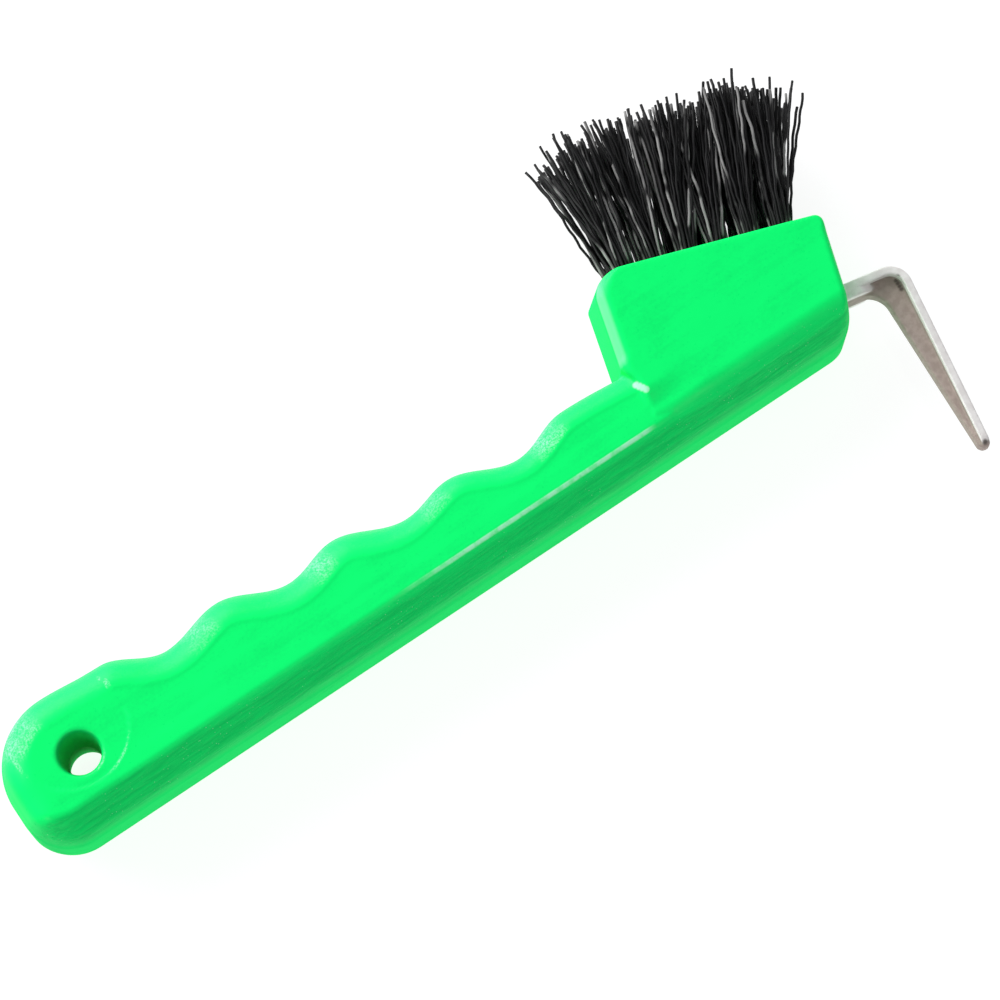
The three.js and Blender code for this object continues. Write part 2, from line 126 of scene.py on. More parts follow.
SHOULDER_RUN = (127, 142)  # the low part of the head swells out of the grip along here
SHOULDER_FADE_Y = (8, 12)
SHOULDER_HIGHLIGHT_SPOTS = [(129.9, 13.2), (130.2, 12.6), (130.5, 12.0), (130.8, 11.4)]  # a painted highlight
GROOVE_Z = 8.3  # a fine line beside the rounding on the back of the head
GROOVE_HALF_WIDTH = 0.45
GROOVE_DEPTH = 0.4
GROOVE_Y = (18.4, 31.3)
GROOVE_FADE = 0.8

# The brush.
TUFT_COLUMNS = 6
TUFT_ROWS = 3
TUFT_PITCH = 5.75
TUFT_ROW_PITCH = 6.2
TUFT_HOLE_RADIUS = 2.2
TUFT_HOLE_DEPTH = 9
TUFT_HOLE_BOTTOM_RADIUS = 0.4
TUFT_HOLE_EDGE_RADIUS = 0.3
TUFT_SPREAD_RADIUS = 1.9
FOLD_DEPTH = 7.0
FOLD_ROUNDNESS = 0.55  # a wider fold reaches this share of its half width deeper
HELD_HEIGHTS = (0.75, 0.35)  # shares of the fold's depth
HELD_REACH = 0.85  # of the way out to the hole's wall, at the first of those heights
BOW_POWER = 0.2
FILAMENT_RADIUS = 0.26
FILAMENT_PAIRS = 21
FILAMENT_RINGS = 24
FILAMENT_SIDES = 6
CLUMPS = 6  # in each tuft the filaments hang together in this many strands
COLUMN_LEANS = [-7, -1, 5, 8, 6, 6]  # in degrees, from the handle side to the hook side
COLUMN_LENGTHS = [25.0, 26.6, 26.8, 27.4, 27.8, 26.2]
ROW_SPLAY = 1.5
EDGE_SPREAD = {0: -4, TUFT_COLUMNS - 1: 6}  # more lean at the outside of the end columns
# row, column: the side, lean and length of a filament that sticks out
STRAYS = {(0, 0): (-1, -17, 28.5), (1, 0): (-1, -12, 25.5), (2, 5): (1, 20, 25.5)}
EVEN_HEIGHT = 9.4  # the filaments are squeezed in beyond this height
SQUEEZE = 1.2
SLOW_SWING = (0.1, 0.36)
SLOW_SWING_LENGTH = (2.6, 4.6)
CRIMP = (0.03, 0.11)
CRIMP_LENGTH = (0.6, 1.0)
FREE_RISE = 5  # a filament swings fully from this height on
LONG_SHARE = 0.13  # this share of the filaments is longer than the rest
LONG_EXTRA = (0.5, 3.2)
RADIUS_SHARES = (0.85, 1.1)
FOLD_HALF_GAP = 0.12
LEAST_OFFSET = 0.3  # of a filament from the middle of its tuft, along the brush
FAN_LEAN = 1.6  # degrees for each millimetre from the middle of the tuft
FAN_SPLAY = 1.4
EDGE_START = 1.0  # filaments of the end columns that stand further out than this spread more
# standard deviations of lean, splay and length
CLUMP_SCATTER = (3.4, 2.4, 0.8)
FILAMENT_SCATTER = (1.5, 1.3, 0.5)
GOLDEN_ANGLE = math.pi * (3 - math.sqrt(5))
SEED = 5

# The hook: a bar into the head and a blade with a flange along its outside.
HOOK_CORNER = np.array((183.65, 7.25))
HOOK_TILT = math.radians(10.2)
HOOK_BAR_LENGTH = 35
HOOK_BAR_HEIGHT = 2.9
HOOK_BAR_FRONT = 7.4
HOOK_WIDTH = 7.4
HOOK_TIP_WIDTH = 5
HOOK_TIP_CORNER_RADIUS = 2
HOOK_BEND_RADIUS = 4
BLADE_LENGTH = 37
FLANGE_THICKNESS = 1.5
FLANGE_TIP_RADIUS = 0.7
WEB_THICKNESS = 2.8
WEB_DEPTH_AT_BEND = 5.6
WEB_DEPTH_AT_TIP = 2
WEB_FILLET_RADIUS = 4.2
BAR_NOTCHES = [24, 30]
BAR_NOTCH_RADIUS = 1.3
BAR_STEP = 0.22  # the bar's sides lie this far inside the flange's edges
SOCKET_GAP = 0.15
BAR_STEP_X = (-15.5, -14.5)
WEB_RUN_OUT = (-9.2, -5.2)  # the bar thins down to the web along here
BLADE_FILLET = 0.4
BAR_FILLET = 0.25
BAR_EDGE_RADIUS = 0.35
BAR_END_RADIUS = 0.4
BAR_TOP_INSET = 0.1
BAR_OVERLAP = 2  # of bar and web
NOTCH_EDGE_RADIUS = 0.2
SOCKET_EDGE_RADIUS = 0.1
FLANGE_EDGE_RADIUS = 0.3
WEB_EDGE_RADIUS = 0.5
WEB_TIP_RADIUS = 0.8
WEB_INSET = 0.4  # inside the flange's outer face
WEB_INTO_BAR = 5
# dark spots in the bend and on the tip, from the bend's outer corner: painted shade with some staining
# in the bend's inner corner, and a painted dark reflection on the tip
HOOK_SHADE_AND_STAIN_SPOTS = [(-2.55, -2.3), (-2.6, -2.9), (-2.65, -3.5), (-2.7, -4.1), (-7.3, -35.4)]

handle_low, handle_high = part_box("handle")
# where the tool's own frame lies in the row frame, in metres
ORIGIN = Vector((
    handle_low.x - HANDLE_END_X * MM, handle_low.y, (handle_low.z + handle_high.z) / 2
))


# ---------- outlines and fields ----------


def lerp(a, b, share):
    return a + (b - a) * share


def smoothstep(value, low, high):
    t = np.clip((value - low) / (high - low), 0, 1)
    return t * t * (3 - 2 * t)


def arc(centre, radius, start, end, count):
    angles = np.radians(np.linspace(start, end, count))
    return [np.array(centre) + radius * np.array((math.cos(a), math.sin(a))) for a in angles]


def rounded_corner(a, b, c, radius, count=12):
    """Points that round the corner at b between a and c."""
    a, b, c = (np.array(p, float) for p in (a, b, c))
    to_a = (a - b) / np.linalg.norm(a - b)
    to_c = (c - b) / np.linalg.norm(c - b)
    half = math.acos(to_a @ to_c) / 2
    middle = (to_a + to_c) / np.linalg.norm(to_a + to_c)
    centre = b + middle * radius / math.sin(half)
    start = b + to_a * radius / math.tan(half) - centre
    end = b + to_c * radius / math.tan(half) - centre
    sweep = math.atan2(start[0] * end[1] - start[1] * end[0], start @ end)
    turns = sweep * np.linspace(0, 1, count)
    return [centre + (start[0] * math.cos(t) - start[1] * math.sin(t),
                      start[0] * math.sin(t) + start[1] * math.cos(t)) for t in turns]


def spline(points, count):
    """A smooth curve through the points, with about count points on each stretch."""
    points = [np.array(p, float) for p in points]
    padded = [2 * points[0] - points[1], *points, 2 * points[-1] - points[-2]]
    curve = []
    for p0, p1, p2, p3 in zip(padded, padded[1:], padded[2:], padded[3:]):
        for t in np.linspace(0, 1, count, endpoint=False):
            curve.append(0.5 * (
                2 * p1 + (p2 - p0) * t + (2 * p0 - 5 * p1 + 4 * p2 - p3) * t**2
                + (3 * p1 - p0 - 3 * p2 + p3) * t**3
            ))
    return [*curve, points[-1]]


class Outline:
    """The distance to a closed outline in a plane, negative inside, read from a fine grid."""

    STEP = 0.25
    MARGIN = 4

    def __init__(self, points):
        points = np.array(points, float)
        self.low = points.min(0) - self.MARGIN
        size = points.max(0) + self.MARGIN - self.low
        self.count = np.ceil(size / self.STEP).astype(int) + 1
        x = self.low[0] + self.STEP * np.arange(self.count[0])
        y = self.low[1] + self.STEP * np.arange(self.count[1])
        gx, gy = np.meshgrid(x, y, indexing="ij")
        nearest = np.full(gx.shape, np.inf)
        inside = np.zeros(gx.shape, bool)
        for (ax, ay), (bx, by) in zip(points, np.roll(points, -1, 0)):
            dx, dy = bx - ax, by - ay
            t = np.clip(((gx - ax) * dx + (gy - ay) * dy) / (dx * dx + dy * dy), 0, 1)
            nearest = np.minimum(nearest, np.hypot(gx - ax - t * dx, gy - ay - t * dy))
            if ay != by:
                crosses = (ay > gy) != (by > gy)
                inside ^= crosses & (gx < ax + (gy - ay) * dx / dy)
        self.grid = np.where(inside, -nearest, nearest)

    def distance(self, x, y):
        u = (x - self.low[0]) / self.STEP
        v = (y - self.low[1]) / self.STEP
        inside_u = np.clip(u, 0, self.count[0] - 1.001)
        inside_v = np.clip(v, 0, self.count[1] - 1.001)
        i, j = inside_u.astype(int), inside_v.astype(int)
        s, t = inside_u - i, inside_v - j
        low = lerp(self.grid[i, j], self.grid[i + 1, j], s)
        high = lerp(self.grid[i, j + 1], self.grid[i + 1, j + 1], s)
        beyond = np.hypot(u - inside_u, v - inside_v) * self.STEP
        return lerp(low, high, t) + beyond


def cut(a, b, radius):
    """The field of what lies in both solids, with a round edge where their faces meet."""
    inner = np.minimum(np.maximum(a, b) + radius, 0)
    return inner - radius + np.hypot(np.maximum(a + radius, 0), np.maximum(b + radius, 0))


def join(a, b, fillet):
    """The field of two solids together, with a fillet where their faces meet."""
    near = np.maximum(fillet - np.abs(a - b), 0)
    return np.minimum(a, b) - near * near / (4 * fillet)


# ---------- skin of a field ----------


def sample(field, low, step, counts):
    """The field's values on a grid."""
    axes = [low[i] + step[i] * np.arange(counts[i]) for i in range(3)]
    grid = np.stack(np.meshgrid(*axes, indexing="ij"), -1).reshape(-1, 3)
    return field(grid).reshape(counts)


def gradient(field, points):
    reach = 0.02
    slopes = []
    for axis in np.eye(3) * reach:
        slopes.append((field(points + axis) - field(points - axis)) / (2 * reach))
    return np.stack(slopes, 1)


def settle(field, points, longest_move, rounds=3):
    """Moves the points onto the surface where the field is zero."""
    for _ in range(rounds):
        slope = gradient(field, points)
        move = slope * (field(points) / np.maximum((slope**2).sum(1), 0.05))[:, None]
        length = np.linalg.norm(move, axis=1, keepdims=True)
        points = points - move * np.minimum(1, longest_move / np.maximum(length, 1e-9))
    return points


def relax(points, faces, share):
    """Moves each point towards the middle of its neighbours."""
    ends = np.concatenate([faces, np.roll(faces, 1, 1)]).reshape(-1)
    others = np.concatenate([np.roll(faces, 1, 1), faces]).reshape(-1)
    number = np.bincount(ends, minlength=len(points))
    middle = np.stack([
        np.bincount(ends, points[others, i], minlength=len(points)) / number for i in range(3)
    ], 1)
    return lerp(points, middle, share)


def skin(field, low, high, step):
    """Points and four-sided faces of the closed surface where the field is zero."""
    low, step = np.array(low, float), np.array(step, float)
    counts = np.ceil((np.array(high) - low) / step).astype(int) + 1
    values = sample(field, low, step, counts)
    cells = counts - 1
    total = np.zeros((cells.prod(), 3))
    number = np.zeros(cells.prod())
    quads = []
    for axis in range(3):
        first = np.take(values, range(counts[axis] - 1), axis)
        second = np.take(values, range(1, counts[axis]), axis)
        spots = np.argwhere((first < 0) != (second < 0))
        before, after = first[tuple(spots.T)], second[tuple(spots.T)]
        crossing = spots.astype(float)
        crossing[:, axis] += before / (before - after)
        corners = []
        b, c = (axis + 1) % 3, (axis + 2) % 3
        for shift_b, shift_c in ((1, 1), (0, 1), (0, 0), (1, 0)):
            cell = spots.copy()
            cell[:, b] -= shift_b
            cell[:, c] -= shift_c
            index = np.ravel_multi_index(cell.T, cells)
            for i in range(3):
                total[:, i] += np.bincount(index, crossing[:, i], minlength=len(total))
            number += np.bincount(index, minlength=len(total))
            corners.append(index)
        corners = np.stack(corners, 1)
        quads.append(np.where((before < 0)[:, None], corners, corners[:, ::-1]))
    used = np.flatnonzero(number)
    renumber = np.zeros(len(number), int)
    renumber[used] = np.arange(len(used))
    points = low + step * (total[used] / number[used, None])
    faces = renumber[np.concatenate(quads)]
    longest_move = step.min()
    for _ in range(2):
        points = settle(field, relax(points, faces, 0.5), longest_move, 2)
    return settle(field, points, longest_move), faces


def add_piece(name, points, faces, material, slot, *nodes, normals=None):
    """A smooth mesh piece that rides on the tool and stands for CAD nodes."""
    mesh = bpy.data.meshes.new(name)
    mesh.from_pydata((points * MM + np.array(ORIGIN)).tolist(), [], faces)
    mesh.materials.append(material)
    mesh.shade_smooth()
    if normals is not None:
        mesh.normals_split_custom_set_from_vertices(normals.tolist())
    piece = bpy.data.objects.new(name, mesh)
    bpy.context.scene.collection.objects.link(piece)
    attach(piece, "root")
    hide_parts(*nodes)
    return piece


def add_skin(name, field, low, high, step, material, slot, node):
    points, faces = skin(field, low, high, step)
    normals = gradient(field, points)
    normals /= np.linalg.norm(normals, axis=1, keepdims=True)
    return add_piece(name, points, faces.tolist(), material, slot, node, normals=normals)


# ---------- hook ----------


def hook_coordinates(x, y):
    """x away from the arm and y up the blade, from the outer corner of the bend."""
    cos, sin = math.cos(HOOK_TILT), math.sin(HOOK_TILT)
    dx, dy = x - HOOK_CORNER[0], y - HOOK_CORNER[1]
    return dx * cos - dy * sin, dx * sin + dy * cos


def flange_outline():
    outer, tip = (0, 0), (0, -BLADE_LENGTH)
    arm = (-HOOK_BAR_LENGTH, 0)
    arm_inner = (arm[0], -FLANGE_THICKNESS)
    inner = (-FLANGE_THICKNESS, -FLANGE_THICKNESS)
    tip_inner = (-FLANGE_THICKNESS, -BLADE_LENGTH)
    return [
        arm,
        arm_inner,
        *rounded_corner(arm_inner, inner, tip_inner, HOOK_BEND_RADIUS - FLANGE_THICKNESS),
        *rounded_corner(inner, tip_inner, tip, FLANGE_TIP_RADIUS),
        *rounded_corner(tip_inner, tip, outer, FLANGE_TIP_RADIUS),
        *rounded_corner(tip, outer, arm, HOOK_BEND_RADIUS, 24),
    ]


def web_outline():
    arm = (-HOOK_BAR_FRONT - WEB_INTO_BAR, -HOOK_BAR_HEIGHT)
    bend = (-WEB_DEPTH_AT_BEND, -HOOK_BAR_HEIGHT)
    tip = (-WEB_DEPTH_AT_TIP, WEB_INSET - BLADE_LENGTH)
    tip_outer = (-WEB_INSET, WEB_INSET - BLADE_LENGTH)
    outer = (-WEB_INSET, -WEB_INSET)
    return [
        arm,
        *rounded_corner(arm, bend, tip, WEB_FILLET_RADIUS, 20),
        *rounded_corner(bend, tip, tip_outer, WEB_TIP_RADIUS),
        tip_outer,
        *rounded_corner(tip_outer, outer, arm, HOOK_BEND_RADIUS - WEB_INSET),
        (arm[0], -WEB_INSET),
    ]


FLANGE = Outline(flange_outline())
WEB = Outline(web_outline())


def bar_field(points):
    """The bar inside the head, with the notches that key it, and its run out into the web."""
    x, y = hook_coordinates(points[:, 0], points[:, 1])
    z = np.abs(points[:, 2])
    hidden = 1 - smoothstep(x, *BAR_STEP_X)
    full = HOOK_WIDTH / 2 - BAR_STEP * (1 - hidden)
    half = lerp(full, WEB_THICKNESS / 2, smoothstep(x, *WEB_RUN_OUT))
    ends = np.maximum(-HOOK_BAR_LENGTH - x, x + HOOK_BAR_FRONT - BAR_OVERLAP)
    section = cut(np.maximum(y + BAR_TOP_INSET, -HOOK_BAR_HEIGHT - y), z - half, BAR_EDGE_RADIUS)
    bar = cut(section, ends, BAR_END_RADIUS)
    for behind in BAR_NOTCHES:
        notch = np.hypot(x + behind, z - HOOK_WIDTH / 2) - BAR_NOTCH_RADIUS
        bar = cut(bar, -notch, NOTCH_EDGE_RADIUS)
    return bar


def hook_field(points):
    x, y = hook_coordinates(points[:, 0], points[:, 1])
    z = np.abs(points[:, 2])
    below_bend = np.clip((-y - HOOK_BEND_RADIUS) / (BLADE_LENGTH - HOOK_BEND_RADIUS), 0, 1)
    half = lerp(HOOK_WIDTH, HOOK_TIP_WIDTH, below_bend) / 2
    tip = cut(z - half, -BLADE_LENGTH - y, HOOK_TIP_CORNER_RADIUS)
    sides = np.where(x > -HOOK_BAR_FRONT, tip, z - half)
    flange = cut(FLANGE.distance(x, y), sides, FLANGE_EDGE_RADIUS)
    web = cut(WEB.distance(x, y), z - WEB_THICKNESS / 2, WEB_EDGE_RADIUS)
    return join(join(flange, web, BLADE_FILLET), bar_field(points), BAR_FILLET)


# ---------- handle ----------


def grip_outline():
    wave = [(HANDLE_END_X + END_UPPER_RADIUS, END_TOP_Y), *FINGER_WAVE, (GRIP_TAIL_X, GRIP_TAIL_Y)]
    top = []
    for (x0, y0), (x1, y1) in zip(wave, wave[1:]):
        for t in np.linspace(0, 1, WAVE_STEPS, endpoint=False):
            top.append((lerp(x0, x1, t), lerp(y0, y1, (1 - math.cos(math.pi * t)) / 2)))
    lower_centre = (HANDLE_END_X + END_LOWER_RADIUS, END_LOWER_RADIUS)
    upper_centre = (HANDLE_END_X + END_UPPER_RADIUS, END_TOP_Y - END_UPPER_RADIUS)
    return [
        *arc(lower_centre, END_LOWER_RADIUS, 180, 270, 24),
        (HEAD_FOOT_X + 1, 0),
        (GRIP_TAIL_X, GRIP_TAIL_RISE),
        wave[-1],
        *top[:0:-1],
        *arc(upper_centre, END_UPPER_RADIUS, 90, 180, 32),
    ]


def head_outline():
    along = np.array((math.cos(HEAD_TILT), -math.sin(HEAD_TILT)))
    down = np.array((-math.sin(HEAD_TILT), -math.cos(HEAD_TILT)))
    front = HEAD_BACK_CORNER + along * HEAD_LENGTH
    nose = front + down * front[1] / -down[1]
    foot = (HEAD_FOOT_X, 0)
    return [
        *rounded_corner(foot, nose, front, HEAD_NOSE_RADIUS, 20),
        *rounded_corner(nose, front, HEAD_BACK_CORNER, HEAD_FRONT_CORNER_RADIUS),
        *rounded_corner(front, HEAD_BACK_CORNER, HEAD_BACK_BASE, BACK_CORNER_SEED_RADIUS),
        *spline([HEAD_BACK_BASE, *HEAD_SHOULDER, foot], 8),
    ]


GRIP = Outline(grip_outline())
HEAD = Outline(head_outline())
ALONG_BRUSH = np.array((math.cos(HEAD_TILT), -math.sin(HEAD_TILT)))
BRUSH_MIDDLE = HEAD_BACK_CORNER + ALONG_BRUSH * HEAD_LENGTH / 2


def brush_coordinates(x, y):
    """u along the brush face towards the hook and v out of it, from its middle."""
    cos, sin = math.cos(HEAD_TILT), math.sin(HEAD_TILT)
    dx, dy = x - BRUSH_MIDDLE[0], y - BRUSH_MIDDLE[1]
    return dx * cos - dy * sin, dx * sin + dy * cos


def bevel_plane(depth, z, inset, half_thickness, flat_half):
    """The field outside the bevel between the spine's flat and the side."""
    drop = half_thickness - flat_half
    return ((z - flat_half) * inset - depth * drop) / np.hypot(inset, drop)


def depth_from_spine(x, y):
    """How far inside the spine or the round end a point lies."""
    centre = HANDLE_END_X + END_LOWER_RADIUS
    across = np.hypot(np.minimum(x - centre, 0), np.minimum(y - END_LOWER_RADIUS, 0))
    return END_LOWER_RADIUS - across


def grip_field(x, y, z):
    outside = GRIP.distance(x, y)
    finger = lerp(FINGER_ROUNDING, FINGER_ROUNDING_NEAR_HEAD, smoothstep(x, *FINGER_ROUNDING_CHANGE_X))
    past_spine = smoothstep(y, *ROUNDING_CHANGE_Y)
    rounding = lerp(SPINE_ROUNDING, finger, past_spine)
    from_land = np.hypot(x - LAND_CENTRE[0], y - LAND_CENTRE[1]) - LAND_RADIUS
    land = LAND_DEPTH * (1 - smoothstep(from_land, *LAND_EDGE))
    inside = -outside - finger
    dip = SIDE_DIP * (smoothstep(inside, *SIDE_DIP_START) - smoothstep(inside, *SIDE_DIP_END))
    dip *= smoothstep(y, *SIDE_DIP_Y) * smoothstep(x, *SIDE_DIP_X)
    body = cut(outside, z - GRIP_HALF_THICKNESS + np.maximum(land, dip), rounding)
    depth = depth_from_spine(x, y)
    bevel = bevel_plane(depth, z, SPINE_BEVEL, GRIP_HALF_THICKNESS, SPINE_FLAT_HALF)
    round_end = smoothstep(END_LOWER_RADIUS - x, *BEVEL_RUN_OUT_DEPTH) * past_spine
    bevel -= BEVEL_RUN_OUT * round_end
    edge = lerp(SPINE_EDGE_RADIUS, BEVEL_EDGE_RADIUS, smoothstep(z, *EDGE_CHANGE_Z))
    return cut(body, bevel, edge)


def behind_head(x, y):
    """How far a point lies behind the straight back of the head."""
    along = (HEAD_BACK_BASE - HEAD_BACK_CORNER) / np.linalg.norm(HEAD_BACK_BASE - HEAD_BACK_CORNER)
    return (x - HEAD_BACK_CORNER[0]) * along[1] - (y - HEAD_BACK_CORNER[1]) * along[0]


def head_field(x, y, height):
    z = np.abs(height)
    u, v = brush_coordinates(x, y)
    lower, upper = BACK_CORNER_HEIGHTS
    corner_share = np.clip((height - lower) / (upper - lower), *BACK_CORNER_LIMITS)
    corner = cut(v, behind_head(x, y), lerp(*BACK_CORNER_RADII, corner_share))
    outside = np.maximum(HEAD.distance(x, y), corner)

    back = 1 - smoothstep(u, *BACK_U)
    above_grip = smoothstep(y, HEAD_BACK_BASE[1] - 2, HEAD_BACK_BASE[1] + 2)
    back_rounding = lerp(HEAD_STEP_ROUNDING, HEAD_BACK_ROUNDING, above_grip)
    ends = lerp(HEAD_FRONT_ROUNDING, back_rounding, back)
    at_brush = smoothstep(v, *BRUSH_FACE_DEPTH) * smoothstep(u, *BRUSH_FACE_U)
    rounding = lerp(ends, BRUSH_FACE_ROUNDING, at_brush)

    swell = HEAD_HALF_THICKNESS - GRIP_HALF_THICKNESS - SHOULDER_STEP
    swell = swell * (1 - smoothstep(x, *SHOULDER_RUN))
    half_low = HEAD_HALF_THICKNESS - swell
    half = HEAD_HALF_THICKNESS - swell * (1 - smoothstep(y, *SHOULDER_FADE_Y))
    body = cut(outside, z - half, rounding)
    bevel = bevel_plane(y, z, HEAD_SPINE_BEVEL, half_low, SPINE_FLAT_HALF)
    edge = lerp(SPINE_EDGE_RADIUS, HEAD_BEVEL_EDGE_RADIUS, smoothstep(z, *EDGE_CHANGE_Z))

    across_groove = np.clip(1 - np.abs(z - GROOVE_Z) / GROOVE_HALF_WIDTH, 0, 1)
    along_groove = smoothstep(y, GROOVE_Y[0], GROOVE_Y[0] + GROOVE_FADE)
    along_groove *= 1 - smoothstep(y, GROOVE_Y[1] - GROOVE_FADE, GROOVE_Y[1])
    groove = GROOVE_DEPTH * across_groove * along_groove * (u < BRUSH_FACE_U[1])
    return cut(body, bevel, edge) + groove


def hang_hole_field(x, y, z):
    slope = (HOLE_RIM_START_RADIUS - HOLE_NECK_RADIUS) / GRIP_HALF_THICKNESS
    return np.hypot(x - HOLE_CENTRE[0], y - HOLE_CENTRE[1]) - HOLE_NECK_RADIUS - slope * z


def tuft_holes_field(x, y, z):
    """All the blind holes together, by the distance to the nearest one."""
    u, v = brush_coordinates(x, y)
    last_column, last_row = (TUFT_COLUMNS - 1) / 2, (TUFT_ROWS - 1) / 2
    column = np.clip(np.round(u / TUFT_PITCH - 0.5) + 0.5, -last_column, last_column)
    row = np.clip(np.round(z / TUFT_ROW_PITCH), -last_row, last_row)
    radial = np.hypot(u - column * TUFT_PITCH, z - row * TUFT_ROW_PITCH) - TUFT_HOLE_RADIUS
    return cut(radial, -TUFT_HOLE_DEPTH - v, TUFT_HOLE_BOTTOM_RADIUS)


def handle_field(points):
    x, y = points[:, 0], points[:, 1]
    z = np.abs(points[:, 2])
    fillet = lerp(SMALL_FILLET, HEAD_FILLET, smoothstep(y, *HEAD_FILLET_Y))
    solid = join(grip_field(x, y, z), head_field(x, y, points[:, 2]), fillet)
    solid = cut(solid, -hang_hole_field(x, y, z), HOLE_RIM_ROUNDING)
    solid = cut(solid, -tuft_holes_field(x, y, points[:, 2]), TUFT_HOLE_EDGE_RADIUS)
    return cut(solid, SOCKET_GAP - bar_field(points), SOCKET_EDGE_RADIUS)


# ---------- brush ----------


def crinkle(rise, rng):
    """The sideways swing of a filament: a slow bend with a fine crimp on it."""
    swing = 0
    for size, length in ((SLOW_SWING, SLOW_SWING_LENGTH), (CRIMP, CRIMP_LENGTH)):
        swing = swing + rng.uniform(*size) * np.sin(rise / rng.uniform(*length) + rng.uniform(0, 6.28))
    return np.clip(rise / FREE_RISE, 0, 1) * swing


def filament_half(start, fold_u, lean, splay, length, rng):
    """The path from the fold at the bottom of the hole up to a tip, in the brush's frame."""
    u, z = start
    rise = np.linspace(0, length, FILAMENT_RINGS)
    bow = rise * (rise / length) ** BOW_POWER
    free = [
        u + math.tan(math.radians(lean)) * bow + crinkle(rise, rng),
        rise * math.cos(math.radians(lean)),
        z + math.tan(math.radians(splay)) * bow + crinkle(rise, rng),
    ]
    deepest = FOLD_DEPTH + FOLD_ROUNDNESS * abs(u - fold_u)
    heights = [-deepest, -FOLD_DEPTH * HELD_HEIGHTS[0], -FOLD_DEPTH * HELD_HEIGHTS[1]]
    held = [[fold_u, lerp(fold_u, u, HELD_REACH), u], heights, [z] * 3]
    return np.concatenate([held, free], 1).T


def brush_to_tool(points):
    cos, sin = math.cos(HEAD_TILT), math.sin(HEAD_TILT)
    u, v, z = points.T
    beyond = np.maximum(np.abs(z) - EVEN_HEIGHT, 0)
    squeezed = np.minimum(np.abs(z), EVEN_HEIGHT) + SQUEEZE * (1 - np.exp(-beyond / SQUEEZE))
    x = BRUSH_MIDDLE[0] + u * cos + v * sin
    y = BRUSH_MIDDLE[1] - u * sin + v * cos
    return np.stack([x, y, np.sign(z) * squeezed], 1)


def tube(path, radius, sides):
    """Points and faces of a closed tube along a path that mostly runs up the bristles."""
    tangent = np.gradient(path, axis=0)
    tangent /= np.linalg.norm(tangent, axis=1, keepdims=True)
    side = np.cross(tangent, (0, 0, 1))
    side /= np.linalg.norm(side, axis=1, keepdims=True)
    other = np.cross(side, tangent)
    angle = 2 * math.pi * np.arange(sides) / sides
    ring = side[:, None] * np.cos(angle)[:, None] + other[:, None] * np.sin(angle)[:, None]
    points = (path[:, None] + radius * ring).reshape(-1, 3)
    first = (np.arange(len(path) - 1)[:, None] * sides + np.arange(sides)).reshape(-1)
    second = (np.arange(len(path) - 1)[:, None] * sides + np.roll(np.arange(sides), -1)).reshape(-1)
    walls = np.stack([first, second, second + sides, first + sides], 1)
    ends = [tuple(range(sides))[::-1], tuple(range(len(points) - sides, len(points)))]
    return points, [*walls.tolist(), *ends]


def strands(rng):
    """Where the strands of a tuft stand, and how each leans, splays and differs in length."""
    turn = rng.uniform(0, 2 * math.pi)
    clumps = []
    for i in range(CLUMPS):
        reach = TUFT_SPREAD_RADIUS * math.sqrt((i + 0.5) / CLUMPS)
        angle = turn + GOLDEN_ANGLE * i
        scatter = [rng.normal(0, spread) for spread in CLUMP_SCATTER]
        clumps.append((reach * math.cos(angle), reach * math.sin(angle), *scatter))
    return clumps


def filament_side(row, column, side, off_u, off_z, clumps, stray, rng):
    """The path of one side of a folded filament."""
    middle_u = (column - (TUFT_COLUMNS - 1) / 2) * TUFT_PITCH
    middle_z = (row - (TUFT_ROWS - 1) / 2) * TUFT_ROW_PITCH
    u = side * off_u
    clump = min(clumps, key=lambda c: (c[0] - u) ** 2 + (c[1] - off_z) ** 2)
    scatter = [rng.normal(0, spread) for spread in FILAMENT_SCATTER]
    lean = COLUMN_LEANS[column] + FAN_LEAN * u + clump[2] + scatter[0]
    splay = ROW_SPLAY * (row - 1) + FAN_SPLAY * off_z + clump[3] + scatter[1]
    length = COLUMN_LENGTHS[column] + clump[4] + scatter[2]
    outer_lean = EDGE_SPREAD.get(column, 0)
    if u * outer_lean > EDGE_START * abs(outer_lean):
        lean += outer_lean
    if rng.random() < LONG_SHARE:
        length += rng.uniform(*LONG_EXTRA)
    if stray and stray[0] == side:
        lean, splay, length = stray[1], 0, stray[2]
    start = (middle_u + u, middle_z + off_z)
    return filament_half(start, middle_u + side * FOLD_HALF_GAP, lean, splay, length, rng)


def tuft(row, column, rng):
    """Points and faces of all the filaments in one tuft."""
    clumps = strands(rng)
    points, faces, count = [], [], 0
    for pair in range(FILAMENT_PAIRS):
        reach = TUFT_SPREAD_RADIUS * math.sqrt((pair + 0.5) / FILAMENT_PAIRS)
        off_u = max(abs(reach * math.cos(GOLDEN_ANGLE * pair)), LEAST_OFFSET)
        off_z = reach * math.sin(GOLDEN_ANGLE * pair)
        stray = STRAYS.get((row, column)) if pair == FILAMENT_PAIRS - 1 else None
        if stray:
            off_u, off_z = TUFT_SPREAD_RADIUS, 0
        lower = filament_side(row, column, -1, off_u, off_z, clumps, stray, rng)
        upper = filament_side(row, column, 1, off_u, off_z, clumps, stray, rng)
        path = brush_to_tool(np.concatenate([lower[::-1], upper]))
        radius = FILAMENT_RADIUS * rng.uniform(*RADIUS_SHARES)
        new_points, new_faces = tube(path, radius, FILAMENT_SIDES)
        points.append(new_points)
        faces.extend([i + count for i in face] for face in new_faces)
        count += len(new_points)
    return np.concatenate(points), faces


# ---------- materials ----------


